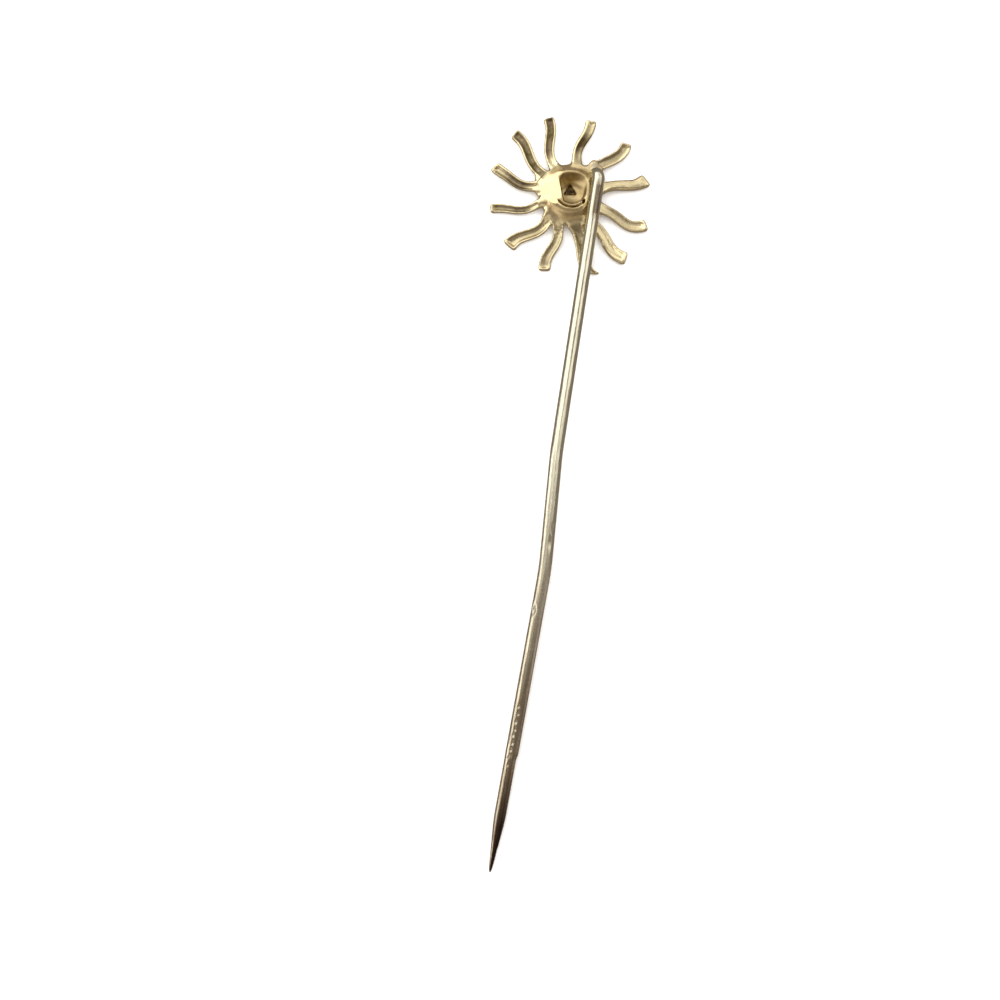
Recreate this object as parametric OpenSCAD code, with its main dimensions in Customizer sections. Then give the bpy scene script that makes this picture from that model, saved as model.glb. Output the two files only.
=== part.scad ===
// Sunburst stick pin, lying face down: twelve wavy rays round a domed boss, a small
// round stone set from the front, and a wire stem that is soldered to the back.
// The head is at +Y, the point of the stem at -Y, and the back of the head faces up.

/* [Head] */
// Radius of the head that the rays' reaches are shares of
head_r = 6.8; // [6:0.1:8]
// Radius of the boss in the middle of the head
boss_r = 2.45; // [2.2:0.05:2.8]
// How wide the rounded edge of the boss's back is
boss_round = 1.1; // [0.7:0.05:1.3]

/* [Rays] */
// Width of an ordinary ray
ray_w = 0.92; // [0.7:0.02:1.1]
// Thickness of a ray, front to back
ray_t = 0.5; // [0.35:0.05:0.7]
// How much higher a ray's root lies than its tip
ray_rise = 0.42; // [0.2:0.02:0.6]
// Depth of the channel along a ray's back
channel_d = 0.17; // [0.05:0.01:0.25]
// Width of the rims beside the channel
rim_w = 0.2; // [0.12:0.01:0.28]
// How much wider a ray is where it leaves the boss, as a share of itself
root_flare = 0.5; // [0.2:0.05:0.7]
// How much thicker a ray is where it leaves the boss, as a share of itself
root_swell = 0.3; // [0:0.05:0.7]

/* [Setting and stone] */
// Radius of the stone at its girdle
stone_r = 0.9; // [0.7:0.05:1.1]
// Gap between the stone and its seat
stone_gap = 0.03; // [0.02:0.01:0.06]
// How far the stone's table lies inside the front rim
table_drop = 0.1; // [0.05:0.01:0.2]
// Thickness of the rim round the stone
bezel_w = 0.38; // [0.3:0.02:0.5]
// Radius of the hole that shows the stone's point from behind
hole_r = 0.5; // [0.4:0.02:0.6]
// Thickness of the metal round that hole
hole_wall = 0.14; // [0.1:0.02:0.25]
// Radius of the recess behind the stone
recess_r = 1.28; // [1.1:0.02:1.5]
// Depth of the recess behind the stone
recess_d = 0.55; // [0.3:0.05:0.8]
// Height of the fine lip round the recess
lip_h = 0.07; // [0.04:0.01:0.12]
// How far the recess was drilled off the middle of the boss, to the right and up
recess_off = 0.17; // [0:0.01:0.2]
// How far the setting lies to the left of the middle of the boss
setting_left = 0.08; // [0:0.02:0.2]
// How far the setting lies above the middle of the boss
setting_up = 0.16; // [0:0.02:0.3]

/* [Stem] */
// Diameter of the wire
wire_d = 1.06; // [0.8:0.02:1.2]
// Length of the stem from its bend to its point
stem_l = 58.2; // [50:0.1:70]
// Length of the thinner end, up to the point
thin_l = 9.8; // [8:0.1:12]
// Diameter of the thinner end
thin_d = 0.95; // [0.6:0.01:0.96]
// Length of the taper at the point
taper_l = 4.6; // [2:0.1:6]
// Radius of the wire's middle in the bend over the head
bend_r = 0.7; // [0.65:0.05:1]
// Angle that the wire turns through on its way down to the head
bend_turn = 80; // [65:1:88]
// Clear height between the wire and the boss
standoff = 0.18; // [0.1:0.02:0.6]
// How far the stem runs to the right of the head's middle
stem_x = 2.12; // [1.8:0.02:2.4]
// How far above the head's middle the stem's bend starts
stem_y = 1.15; // [0.9:0.05:1.5]
// Radius of the solder round the wire's foot
solder_r = 0.8; // [0.7:0.02:1]

/* [Hidden] */
GOLD = [0.8, 0.68, 0.42];
CLEAR = [0.85, 0.9, 0.92];

// Each ray's middle leaves the boss at the angle root and ends at the angle tip. On its
// way it bows to one side and then swings to both. Angles are in degrees. Reach is a
// share of head_r, wide of ray_w and deep of channel_d. Roll tips a ray over on its
// own length.
ROOT = 0;
TIP = 1;
BOW = 2;
SWING = 3;
REACH = 4;
WIDE = 5;
DEEP = 6;
ROLL = 7;
RAYS = [
    // root, tip, bow, swing, reach, wide, deep, roll
    [19.5, 21.5, -1, 1.5, 0.965, 1.02, 0.6, 0],
    [60, 52.5, -4, 1, 0.955, 0.95, 1.1, 14],
    [87, 83.5, 2, 2.3, 0.995, 0.92, 0.8, 0],
    [129, 114, -0.5, 2.2, 1.035, 0.94, 1, 0],
    [153.6, 140.2, -2, 2.3, 1.06, 1, 1.1, 0],
    [172, 167.8, 5.8, 2.6, 1.015, 1, 1.1, 0],
    [204.5, 198.5, 4, 2.4, 1.01, 0.8, 0.8, 0],
    [235, 229, 3, 3.4, 1.01, 1.12, 1.2, 0],
    [253, 260, 4, 3.3, 1.015, 1, 0.8, 0],
    [285.5, 293.5, 0, 1.5, 1.05, 0.92, 0.6, 0],
    [310, 319.3, 1.5, 2.8, 1.065, 1, 0.5, 0],
    [341, 346.5, -2.5, 2.7, 1.012, 1.04, 0.5, 0],
];

// Webs of metal that fill the corners between the rays' feet: the angle of each, how far
// out it lies and how large it is, as shares of boss_r
ANGLE = 0;
FAR = 1;
SPREAD = 2;
WEBS = [
    // angle, far, spread
    [162.5, 1.11, 0.22],
    [188, 1.02, 0.2],
    [219, 0.98, 0.16],
    [244, 1.06, 0.17],
    [275, 0.98, 0.2],
];

// Sections of a ray, as shares of its way from the boss to its tip. The first one is
// buried in the boss.
STATIONS = [-0.12, 0, 0.06, 0.12, 0.21, 0.33, 0.45, 0.57, 0.68, 0.79];
// Sections that close a ray's end: how many rims they lie from the tip, their share of
// the width, of the channel's depth and of the thickness.
BACK = 0;
FULL = 1;
SUNK = 2;
THICK = 3;
ENDS = [
    // back, full, sunk, thick
    [2.3, 1, 1, 1],
    [1.3, 1, 0.65, 1],
    [0.6, 0.98, 0, 1],
    [0.15, 0.88, 0, 0.86],
    [0, 0.72, 0, 0.6],
];

// The stem is not quite straight: straight stretches with slight bends between them.
// Each stretch is a share of the stem's length, and then the wire turns by some degrees.
STRETCH = 0;
TURN = 1;
RUNS = [
    // stretch, turn
    [0.39, 3.2],
    [0.134, -4.7],
];
// Radius of those slight bends, in wire diameters
SWEEP = 25;
// Bends are drawn a little thinner than the straight wire, which runs a little into them
SLIM = 0.97;
INTO = 0.04;

// The point: how far behind it a section lies, as a share of taper_l, and how wide it is,
// as a share of thin_d
BEHIND = 0;
ACROSS = 1;
POINT = [
    // behind, across
    [1, 0.97],
    [0.8, 0.88],
    [0.6, 0.72],
    [0.38, 0.52],
    [0.16, 0.38],
    [0.04, 0.24],
    [0, 0.08],
];
// The thinner end lies a little to one side in the wire
thin_shift = (wire_d - thin_d) / 2 * 0.8;
// How long the step down to the thinner end is
STEP_L = 0.6;

wire_r = wire_d / 2;
crown_h = 0.3 * stone_r;
girdle_h = 0.05 * stone_r;
pavilion_h = 0.86 * stone_r;
girdle_z = table_drop + crown_h;
pavilion_z = girdle_z + girdle_h;
seat_r = stone_r + stone_gap;
bezel_r = seat_r + bezel_w;
// Where the seat's cone has narrowed to the hole
seat_top = pavilion_z + pavilion_h * (seat_r - hole_r) / stone_r + stone_gap;
recess_z = seat_top + hole_wall;
boss_h = recess_z + recess_d;
// Height of the boss's front face, behind the rim round the stone
face_z = ray_rise * 0.85;

function plan(r, a) = [r * cos(a), r * sin(a)];

// Middle of a ray in plan, at the share t of its way
function ray_angle(ray, t) =
    ray[ROOT] + (ray[TIP] - ray[ROOT]) * t + ray[BOW] * sin(180 * t) + ray[SWING] * sin(360 * t);
function ray_middle(ray, t) =
    plan(boss_r + (head_r * ray[REACH] - boss_r) * t, ray_angle(ray, t));
function ray_way(ray, t) =
    let (step = 0.01, d = ray_middle(ray, t + step) - ray_middle(ray, t - step))
    d / norm(d);
// A ray grows towards the boss over this share of its way
GROWTH = 0.24;
function near_root(t) = pow(max(0, 1 - max(0, t) / GROWTH), 2);
function ray_half(ray, t) = ray_w * ray[WIDE] / 2 * (0.88 + 0.2 * t + root_flare * near_root(t));
function ray_thick(t) = ray_t * (1 + root_swell * near_root(t));
function ray_deep(ray, t) = channel_d * ray[DEEP] * (1 - near_root(t * 0.7));
function ray_lift(t) = ray_rise * pow(1 - max(0, t), 1.3);

// Outline of a ray's section: across it, and up from its front. The flat of its front
// is this share of its width.
FRONT_FLAT = 0.62;
function ray_outline(half, thick, deep) =
    let (inner = half - rim_w, crest = half - rim_w * 0.4)
    [
        [-half, thick * 0.72],
        [-crest, thick],
        [-inner, thick - deep * 0.2],
        [-inner * 0.55, thick - deep * 0.85],
        [0, thick - deep],
        [inner * 0.55, thick - deep * 0.85],
        [inner, thick - deep * 0.2],
        [crest, thick],
        [half, thick * 0.72],
        [half, thick * 0.4],
        [half * FRONT_FLAT, 0],
        [-half * FRONT_FLAT, 0],
        [-half, thick * 0.4],
    ];

// One section of a ray, set in its place
function ray_section(ray, t, full, sunk, thick) =
    let (
        m = ray_middle(ray, t),
        way = ray_way(ray, t),
        roll = ray[ROLL] * max(0, t),
        half = ray_half(ray, t) * full,
        // Rolling lowers one side of the front, so the ray is lifted by as much
        low = ray_lift(t) + (1 - thick) * ray_t * 0.4 + half * FRONT_FLAT * abs(sin(roll))
    )
    [
        for (p = ray_outline(half, ray_thick(t) * thick, ray_deep(ray, t) * sunk))
        let (across = p.x * cos(roll) - p.y * sin(roll), up = p.y * cos(roll) + p.x * sin(roll))
        [m.x - way.y * across, m.y + way.x * across, low + up]
    ];

function ray_sections(ray) =
    let (length = head_r * ray[REACH] - boss_r)
    concat(
        [for (t = STATIONS) ray_section(ray, t, 1, 1, 1)],
        [for (e = ENDS) ray_section(ray, 1 - e[BACK] * rim_w / length, e[FULL], e[SUNK], e[THICK])]
    );

// A closed skin over sections with the same number of points
module skin(sections) {
    n = len(sections[0]);
    last = len(sections) - 1;
    polyhedron(
        points = [for (s = sections, p = s) p],
        faces = concat(
            [[for (i = [n - 1:-1:0]) i]],
            [
                for (k = [0:last - 1], i = [0:n - 1])
                let (a = k * n + i, b = k * n + (i + 1) % n)
                each [[a, b, a + n], [b, b + n, a + n]]
            ],
            [[for (i = [0:n - 1]) last * n + i]]
        )
    );
}

// The boss is turned, with a low dome behind
module boss() {
    edge_z = ray_rise + ray_t * 0.85;
    rotate_extrude($fn = 48)
        polygon(concat(
            [
                [0, face_z],
                [boss_r - ray_t * 0.5, face_z],
                [boss_r, face_z + ray_t * 0.3],
            ],
            [
                for (a = [0:15:90])
                [boss_r - boss_round * (1 - cos(a)), edge_z + (boss_h - edge_z) * sin(a)]
            ],
            [[0, boss_h]]
        ));
}

// The webs are low domes as high as the rays
module webs() {
    for (web = WEBS) {
        r = web[SPREAD] * boss_r;
        translate(plan(web[FAR] * boss_r, web[ANGLE]))
            rotate_extrude($fn = 24)
                polygon([
                    [0, face_z + ray_t * 0.15],
                    [r * 0.8, face_z + ray_t * 0.15],
                    [r, ray_rise + ray_t * 0.3],
                    [r * 0.85, ray_rise + ray_t * 0.6],
                    [r * 0.5, ray_rise + ray_t * 0.8],
                    [0, ray_rise + ray_t * 0.9],
                ]);
    }
}

// Rim round the stone, in front of the boss
module rim() {
    rotate_extrude($fn = 48)
        polygon([
            [0, 0],
            [bezel_r - table_drop * 0.8, 0],
            [bezel_r, table_drop],
            [bezel_r + table_drop, face_z + table_drop],
            [0, face_z + table_drop],
        ]);
}

// Seat of the stone, and the hole behind it that shows the stone's point
module seat() {
    lip_r = seat_r - crown_h * 0.5;
    rotate_extrude($fn = 40)
        polygon([
            [0, -table_drop],
            [seat_r + stone_gap, -table_drop],
            [seat_r + stone_gap, 0],
            [lip_r, table_drop],
            [lip_r, girdle_z - crown_h * 0.5],
            [seat_r, girdle_z - stone_gap],
            [seat_r, pavilion_z + stone_gap],
            [hole_r, seat_top],
            [hole_r, recess_z + table_drop],
            [0, recess_z + table_drop],
        ]);
}

// Recess drilled from behind, which narrows towards the hole
module recess() {
    rotate_extrude($fn = 40)
        polygon([
            [0, recess_z],
            [hole_r * 1.12, recess_z],
            [recess_r * 0.75, recess_z + recess_d * 0.25],
            [recess_r * 0.95, recess_z + recess_d * 0.5],
            [recess_r, boss_h - lip_h],
            [recess_r, boss_h + recess_d],
            [0, boss_h + recess_d],
        ]);
}

// The fine lip that the drill raised round the recess
module lip() {
    rotate_extrude($fn = 40)
        polygon([
            [recess_r - lip_h * 0.15, boss_h - lip_h * 2],
            [recess_r + lip_h * 1.8, boss_h - lip_h * 2],
            [recess_r + lip_h * 1.3, boss_h + lip_h * 0.8],
            [recess_r + lip_h * 0.7, boss_h + lip_h],
            [recess_r - lip_h * 0.15, boss_h + lip_h * 0.3],
        ]);
}

// Solder at the wire's foot, which has run on over the root of the ray beside it.
// Each drop has its place and its size as shares of solder_r.
RIGHT = 0;
UP = 1;
SIZE = 2;
DROPS = [
    // right, up, size
    [-0.15, 0, 0.86],
    [-0.38, 0.6, 0.8],
    [-0.62, 1.15, 0.7],
];
module solder() {
    translate([stem_x, foot_y, foot_z])
        for (drop = DROPS) {
            size = solder_r * drop[SIZE];
            translate([drop[RIGHT] * solder_r, drop[UP] * solder_r, 0])
                rotate_extrude($fn = 20)
                    polygon([
                        [0, -ray_t * 0.9],
                        [size * 0.9, -ray_t * 0.9],
                        [size, -ray_t * 0.4],
                        [size * 0.93, 0],
                        [size * 0.75, size * 0.2],
                        [size * 0.4, size * 0.36],
                        [0, size * 0.42],
                    ]);
        }
}

// The head is drawn whole and brought to its full height
module head() {
    resize([0, 0, boss_h + lip_h])
        difference() {
            union() {
                for (ray = RAYS)
                    skin(ray_sections(ray));
                boss();
                webs();
                translate([-setting_left, setting_up, 0])
                    rim();
                solder();
                translate([recess_off, recess_off, 0])
                    lip();
            }
            translate([-setting_left, setting_up, 0])
                seat();
            translate([recess_off, recess_off, 0])
                recess();
        }
}

// Height of the wire's middle where it passes over the boss
over_z = boss_h + standoff + wire_r;
// Foot of the wire on the root of its ray
foot_y = stem_y + bend_r * (sin(bend_turn) + 1 / 7);
foot_z = ray_rise + ray_t;

// Points along the stem's underside, as the distance from the bend and the radius there
UNDER = concat(
    [[stem_l - thin_l, wire_r], [stem_l - thin_l + STEP_L, thin_d / 2]],
    [for (p = POINT) [stem_l - p[BEHIND] * taper_l, p[ACROSS] * thin_d / 2]]
);
// The stem slopes until the first of those points meets the floor
slope = min([for (p = UNDER) asin(over_z / norm(p)) - atan(p.y / p.x)]);

// A bend of the wire from where it is, towards +X, about +Z
module sweep(turn, radius, r) {
    side = turn > 0 ? 1 : -1;
    mirror([side < 0 ? 1 : 0, 0, 0])
        translate([radius, 0, 0])
            rotate([0, 0, 180])
                rotate_extrude(angle = abs(turn), $fn = 96)
                    translate([radius, 0])
                        circle(r = r, $fn = 48);
}

// Straight wire towards -Y
module straight(length, r) {
    translate([0, INTO, 0])
        rotate([90, 0, 0])
            cylinder(r = r, h = length + 2 * INTO, $fn = 48);
}

// The straight end of the wire: full size, then thinner, then the taper
module last_stretch(length) {
    full = length - thin_l;
    translate([0, INTO, 0])
        rotate([90, 0, 0]) {
            cylinder(r = wire_r, h = full + INTO, $fn = 48);
            translate([0, 0, full + INTO])
                cylinder(r1 = wire_r, r2 = thin_d * 0.4, h = STEP_L, $fn = 48);
        }
    translate([-thin_shift, -full + STEP_L, 0])
        rotate([90, 0, 0])
            rotate_extrude($fn = 48)
                polygon(concat(
                    [[0, 0], [thin_d / 2, 0]],
                    [for (p = POINT) [p[ACROSS] * thin_d / 2, thin_l + STEP_L - p[BEHIND] * taper_l]],
                    [[0, thin_l + STEP_L]]
                ));
}

// The wire from stretch i onwards, each stretch and bend carrying the next
module wire(i, left) {
    if (i == len(RUNS)) {
        last_stretch(left);
    } else {
        length = RUNS[i][STRETCH] * stem_l;
        turn = RUNS[i][TURN];
        radius = SWEEP * wire_d;
        side = turn > 0 ? 1 : -1;
        straight(length, wire_r);
        translate([0, -length, 0]) {
            sweep(turn, radius, wire_r * SLIM);
            translate([side * radius, 0, 0])
                rotate([0, 0, turn])
                    translate([-side * radius, 0, 0])
                        wire(i + 1, left - length - radius * abs(turn) * PI / 180);
        }
    }
}

// The wire bends down over the head to its foot, and slopes away to its point
module stem() {
    translate([stem_x, stem_y, over_z])
        rotate([slope, 0, 0]) {
            wire(0, stem_l);
            foot();
        }
}

// The bend down to the head, and the short foot that stands in the solder
module foot() {
    translate([0, 0, -bend_r])
        rotate([0, -90, 0]) {
            rotate_extrude(angle = bend_turn, $fn = 72)
                translate([bend_r, 0])
                    circle(r = wire_r * SLIM, $fn = 48);
            rotate([0, 0, bend_turn])
                translate([bend_r, -INTO, 0])
                    rotate([-90, 0, 0])
                        cylinder(r = wire_r, h = foot_l + INTO, $fn = 48);
        }
}
foot_l = (over_z - bend_r * (1 - cos(bend_turn)) - foot_z + ray_t * 0.4) / sin(bend_turn);

// The middle of the part's box, which the part's own frame stands under
TIPS = [for (ray = RAYS) ray_middle(ray, 1)];
middle_x = (max([for (p = TIPS) p.x]) + min([for (p = TIPS) p.x])) / 2;
middle_y = (max([for (p = TIPS) p.y]) + stem_y - stem_l) / 2;

module sunburst_pin() {
    color(GOLD)
        translate([-middle_x, -middle_y, 0]) {
            head();
            stem();
        }
}

// A round cut stone with its table down and its point up
module stone() {
    table_r = 0.56;
    // Height of the points between the table and the girdle, so that each facet is flat
    mid_r = 0.78;
    mid = (mid_r * cos(22.5) - table_r) / (1 - table_r);
    low_r = 0.3;
    low = low_r * cos(22.5);
    rings = concat(
        [for (k = [0:7]) [45 * k, table_r, -crown_h]],
        [for (k = [0:7]) [45 * k + 22.5, mid_r, -crown_h * (1 - mid)]],
        [for (k = [0:15]) [22.5 * k, 1, 0]],
        [for (k = [0:15]) [22.5 * k, 1, girdle_h]],
        [for (k = [0:7]) [45 * k + 22.5, low_r, girdle_h + pavilion_h * (1 - low)]],
        [[0, 0, girdle_h + pavilion_h]]
    );
    faces = concat(
        [[for (k = [7:-1:0]) k]],
        [for (k = [0:7]) let (n = (k + 1) % 8) [k, n, 8 + k]],
        [for (k = [0:7]) let (p = (k + 7) % 8) [k, 8 + k, 16 + 2 * k, 8 + p]],
        [for (k = [0:7]) let (n = (2 * k + 2) % 16) each [[8 + k, 17 + 2 * k, 16 + 2 * k], [8 + k, 16 + n, 17 + 2 * k]]],
        [for (k = [0:15]) let (n = (k + 1) % 16) [16 + k, 16 + n, 32 + n, 32 + k]],
        [for (k = [0:7]) let (n = (2 * k + 2) % 16) each [[48 + k, 32 + 2 * k, 33 + 2 * k], [48 + k, 33 + 2 * k, 32 + n]]],
        [for (k = [0:7]) let (p = (k + 7) % 8) [56, 48 + p, 32 + 2 * k, 48 + k]]
    );
    color(CLEAR)
        translate([-setting_left - middle_x, setting_up - middle_y, girdle_z])
            polyhedron(
                points = [for (r = rings) concat(plan(r[1] * stone_r, r[0]), [r[2]])],
                faces = faces
            );
}

sunburst_pin();
stone();
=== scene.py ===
"""A gold sunburst stick pin that lies face down, with its pale stage."""

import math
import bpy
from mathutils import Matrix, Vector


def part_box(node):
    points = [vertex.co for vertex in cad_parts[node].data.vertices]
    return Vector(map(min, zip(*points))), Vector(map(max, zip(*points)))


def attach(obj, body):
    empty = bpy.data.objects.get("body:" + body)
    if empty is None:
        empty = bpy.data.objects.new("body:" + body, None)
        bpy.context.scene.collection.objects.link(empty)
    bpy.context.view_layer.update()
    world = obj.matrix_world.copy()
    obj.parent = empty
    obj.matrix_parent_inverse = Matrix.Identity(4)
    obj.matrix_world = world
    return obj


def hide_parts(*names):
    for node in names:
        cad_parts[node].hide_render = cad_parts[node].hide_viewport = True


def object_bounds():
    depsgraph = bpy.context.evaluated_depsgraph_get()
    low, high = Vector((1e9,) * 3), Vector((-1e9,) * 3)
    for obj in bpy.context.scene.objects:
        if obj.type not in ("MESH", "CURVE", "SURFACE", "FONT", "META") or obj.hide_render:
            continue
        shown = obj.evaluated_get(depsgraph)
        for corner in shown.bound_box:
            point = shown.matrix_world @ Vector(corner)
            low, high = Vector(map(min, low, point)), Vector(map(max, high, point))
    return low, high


bl_info = {
    "name": "Sunburst stick pin",
    "version": (1, 0, 0),
    "blender": (4, 5, 0),
    "location": "View3D > Sidebar > Stick Pin",
    "description": "Builds a gold sunburst stick pin with its stage round a packed frame",
    "category": "Object",
}

import bmesh
import bpy
from bpy.props import FloatProperty, FloatVectorProperty, IntProperty, PointerProperty
from mathutils import Matrix, Vector, noise

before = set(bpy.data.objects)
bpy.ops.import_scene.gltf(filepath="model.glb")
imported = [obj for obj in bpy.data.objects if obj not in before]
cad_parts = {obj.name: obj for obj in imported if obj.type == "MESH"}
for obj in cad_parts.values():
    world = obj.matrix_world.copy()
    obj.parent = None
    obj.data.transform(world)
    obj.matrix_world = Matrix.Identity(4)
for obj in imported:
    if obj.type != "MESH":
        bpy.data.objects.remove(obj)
CAD_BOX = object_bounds()

# The shapes are worked out in millimetres round the middle of the head, with the back up
MM = 0.001
STONE_LOW, STONE_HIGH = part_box("stone")
# The setting stands a little to the left of the middle of the head, and above it
SETTING = Vector((-0.08, 0.16, 0))
HEAD = Vector(((STONE_LOW[0] + STONE_HIGH[0]) / 2, (STONE_LOW[1] + STONE_HIGH[1]) / 2, 0)) - SETTING * MM
# The recess was drilled off the middle of the boss
RECESS = Vector((0.08, 0.08, 0))

# Each ray's middle leaves the boss at the angle root and ends at the angle tip. It bows
# to one side, swings to both on its way and hooks round at its end. Reach is a share of
# the head's radius, wide of a ray's width and deep of its channel's depth. Fan is how far
# the end widens, roll how many degrees the ray turns over, lean where the channel lies
# across it, curl how many degrees the end rises, or falls from a hump, point how far the
# end narrows, and dull_and_shade how dark the channel is painted near the boss, at its
# middle and near the tip: partly tarnish, partly painted shade.
RAY_COLUMNS = (
    "root", "tip", "bow", "swing", "hook", "reach", "wide",
    "fan", "deep", "roll", "lean", "curl", "point", "dull_and_shade",
)
RAYS = [
    dict(zip(RAY_COLUMNS, row))
    for row in (
        (19.5, 20.4, -1, 1.5, 0.2, 0.965, 1.02, 0.5, -0.3, -4, 0.2, 0, 0, (0.05, 0, 0)),
        (60, 52, -4.9, 1, 1, 0.955, 1.1, -0.3, 0.9, 14, 0, 4, 0, (0.1, 0.5, 0.4)),
        (87, 83.5, 2, 2.3, 0, 0.995, 0.92, 0.1, 0.7, -5, -0.6, 0, 0, (0.45, 1, 0.5)),
        (129, 114, -0.5, 2.2, 0, 1.035, 0.94, 0, 1, 0, 0, 0, 0, (0, 0.95, 0.9)),
        (153.6, 140.2, -2, 2.3, 0, 1.06, 1.0, 0, 1.1, 0, 0, 0, 0, (0.9, 0.95, 0.85)),
        (172, 168.5, 5.8, 2.6, -1.5, 1.015, 1, 0.1, 1.1, 0, 0.35, -8, 0, (0.1, 0.82, 0.45)),
        (204.5, 198.5, 4, 2.4, 0, 1.01, 0.78, 0.1, 0.8, 0, 0, 0, 0, (0, 0.9, 0.75)),
        (235, 229, 3, 3.4, 0, 1.01, 1.08, 0.5, 1.2, 0, 0, 0, 0, (0.1, 0.5, 0.42)),
        (253, 260, 4.7, 3.3, 0, 1.015, 1.0, 0.1, 0.9, 0, -0.2, 0, 0, (0.05, 0.45, 0.6)),
        (285.5, 291.5, 2, 1.5, 6.6, 1.055, 1.25, -1.3, 0.8, 0, 0, 0, 1, (0.7, 0.3, 0.3)),
        (309.3, 318.6, 1.5, 2.8, 0, 1.065, 1.1, 0.1, 0.4, 3, 0.7, 6, 0, (0.2, 0, 0)),
        (341, 346.5, -2.5, 2.7, 0, 1.012, 1.04, 0, 0.5, 0, 0.3, 4, 0, (0.25, 0.35, 0)),
    )
]
# Webs of metal between the rays: the angle and the distance from the setting, and the size
WEBS = ((162.5, 2.72, 0.55), (188, 2.5, 0.5), (219, 2.4, 0.4), (244, 2.6, 0.42), (275, 2.4, 0.5))
# Where the sections of a ray lie on its way from the boss to its tip
RAY_STATIONS = (-0.12, 0, 0.06, 0.12, 0.2, 0.28, 0.36, 0.44, 0.52, 0.6, 0.68, 0.76, 0.84)
# Sections that close a ray's end: rims from the tip, and shares of width, channel, thickness
# and of the width of an end that is drawn to a point
RAY_ENDS = (
    (1.7, 1, 1, 1, 0.65),
    (1.2, 1, 0.7, 1, 0.5),
    (0.7, 0.98, 0.1, 1, 0.34),
    (0.35, 0.93, 0, 0.97, 0.2),
    (0.1, 0.82, 0, 0.84, 0.12),
    (0, 0.66, 0, 0.6, 0.06),
)

# Dents in the stem: how far along, the angle round it from the top, length, width and depth
DENTS = (
    (36.6, -35, 0.5, 0.45, 0.13),
    (31.0, 20, 0.5, 0.3, 0.05),
    (44.6, -12, 0.2, 0.22, 0.05),
    (45.2, -4, 0.2, 0.22, 0.045),
    (45.9, -14, 0.22, 0.25, 0.055),
    (46.5, -6, 0.2, 0.22, 0.05),
    (47.0, -16, 0.2, 0.25, 0.055),
    (47.6, -8, 0.22, 0.22, 0.05),
    (48.2, -14, 0.2, 0.25, 0.055),
    (48.8, -20, 0.2, 0.22, 0.05),
    (49.4, -12, 0.2, 0.22, 0.045),
    (29.8, 35, 0.4, 0.3, 0.05),
    (3.2, 70, 0.5, 0.3, 0.05),
)
# How tarnished the stem is, at places along it
STEM_TARNISH = (
    (0, 0), (24, 0.01), (29, 0.06), (33, 0.22), (38, 0.38),
    (43, 0.52), (49, 0.68), (51, 0.84), (54.5, 0.97), (59, 1),
)
# The straight end of the wire below the bend
STEM_FOOT = 0.9
# The stem's straight stretches, as shares of its length, and the turns after them in degrees
STEM_RUNS = ((0.39, 3.2), (0.134, -4.7))
# The point: how far behind it a section lies, as a share of the taper, and how wide it is
STEM_POINT = (
    (1, 1), (0.9, 0.95), (0.8, 0.88), (0.6, 0.72), (0.38, 0.52),
    (0.16, 0.36), (0.06, 0.25), (0.015, 0.14), (0, 0.05),
)
# The drops of solder that have run together: where each lies, its radius and its height
SOLDER_DROPS = (
    (1.85, 1.9, 0.62, 0.36), (1.75, 2.35, 0.56, 0.24),
    (1.55, 2.75, 0.46, 0.18), (1.95, 2.4, 0.46, 0.2),
)
# How high the middle of the solder lies
SOLDER_Z = 0.88

# How deep the unevenness of each skin is, and how wide its lumps are
CAST_SKIN, LIP_SKIN, SOLDER_SKIN = (0.012, 0.9), (0.012, 0.3), (0.035, 0.4)
# How far from the middle the casting is soft, and how often it is smoothed there
SOFT_ROOTS = ((3.6, 6), (3.2, 10), (2.9, 22))
# The shallow hollow that runs into the recess: its half sizes, and its middle from the boss's top
SCOOP_SIZE, SCOOP_PLACE = (1.45, 1.2, 0.8), Vector((-0.02, 0.68, 0.35))
# How far the groove and the lip sink away off the lip's arc
ARC_DROP = 0.4
# The gap round the stone, how far its table lies behind the rim, and the steps of its cut
# as shares of its radius
STONE_GAP = 0.03
TABLE_DROP = 0.1
CROWN, GIRDLE, PAVILION = 0.3, 0.05, 0.86
# The way in which one corner of the three-cornered hole points
HOLE_CORNER = 99


def plan(radius, degrees):
    """The point at a distance from the middle, in a direction counted from +X."""
    angle = math.radians(degrees)
    return Vector((radius * math.cos(angle), radius * math.sin(angle), 0))


def ease(x):
    """Runs smoothly from 0 at 0 to 1 at 1."""
    x = min(1.0, max(0.0, x))
    return x * x * (3 - 2 * x)


def toward(spot, degrees):
    """How nearly a spot lies in a direction, from 1 straight on to -1 behind."""
    return spot.xy.normalized().dot(plan(1, degrees).xy)


# The small pit where the arc of the lip ends, the way that it runs and its half sizes
PIT = RECESS + plan(1.33, 326)
PIT_WAY, PIT_SIZE = 84, (0.22, 0.12, 0.3)
# Brown stains on the boss, and painted shade in the pit: where, which way they lie, half
# length and half width, how dark
STAINS_AND_PIT_SHADE = (
    (-1.62, 1.76, 35, 0.6, 0.26, 0.72),
    (0.85, 1.72, 150, 0.55, 0.42, 0.6),
    # The pit's row paints it black: painted shade in the pit
    (PIT.x, PIT.y, PIT_WAY, 0.24, 0.12, 1.2),
)
# The filed facet on the boss's left: which way it falls, where it starts and how steep it is
FACET_WAY, FACET_START, FACET_SLOPE = plan(1, 168), 0.66, 0.31
# Ways from the middle of the recess: to its deepest painted shade, to the middle of the
# crescent of painted shadow outside the lip and to the middle of the lip's arc
SHADE_WAY, CRESCENT_WAY, ARC_WAY = 134, 259, 274


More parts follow.
